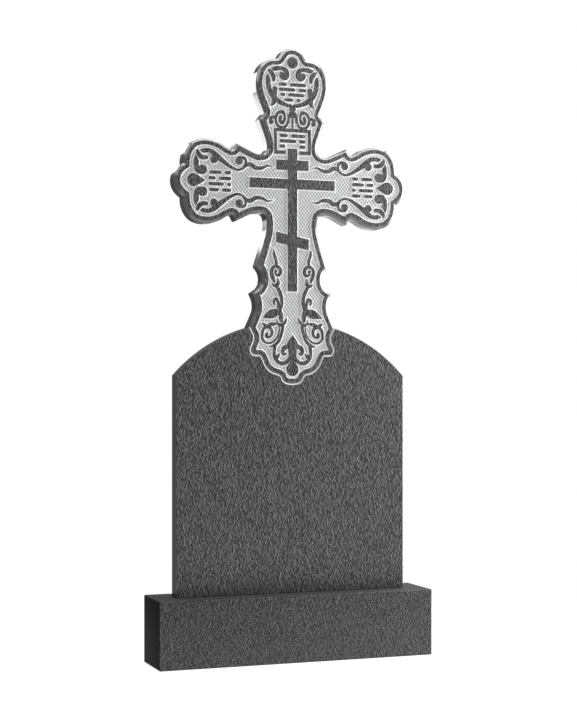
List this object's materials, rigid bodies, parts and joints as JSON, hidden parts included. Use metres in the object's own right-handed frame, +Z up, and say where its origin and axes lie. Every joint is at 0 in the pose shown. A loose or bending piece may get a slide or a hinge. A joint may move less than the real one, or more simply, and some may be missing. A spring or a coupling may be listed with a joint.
{
  "type": "cross headstone",
  "caption": "Arched granite headstone slab with a carved trefoil cross rising from its top, set on a rectangular base block.",
  "frame": {"origin": "under the middle of the base block, on the ground", "axes": "+Z up, the carved front faces -Y, +X to the right when seen from the front"},
  "size_m": [0.7, 0.144, 1.4936],
  "materials": {
    "base_granite": "polished",
    "stele_granite": "polished face with pale cut relief"
  },
  "bodies": {
    "root": {"base": "base_granite", "stele": "stele_granite"}
  },
  "joints": []
}
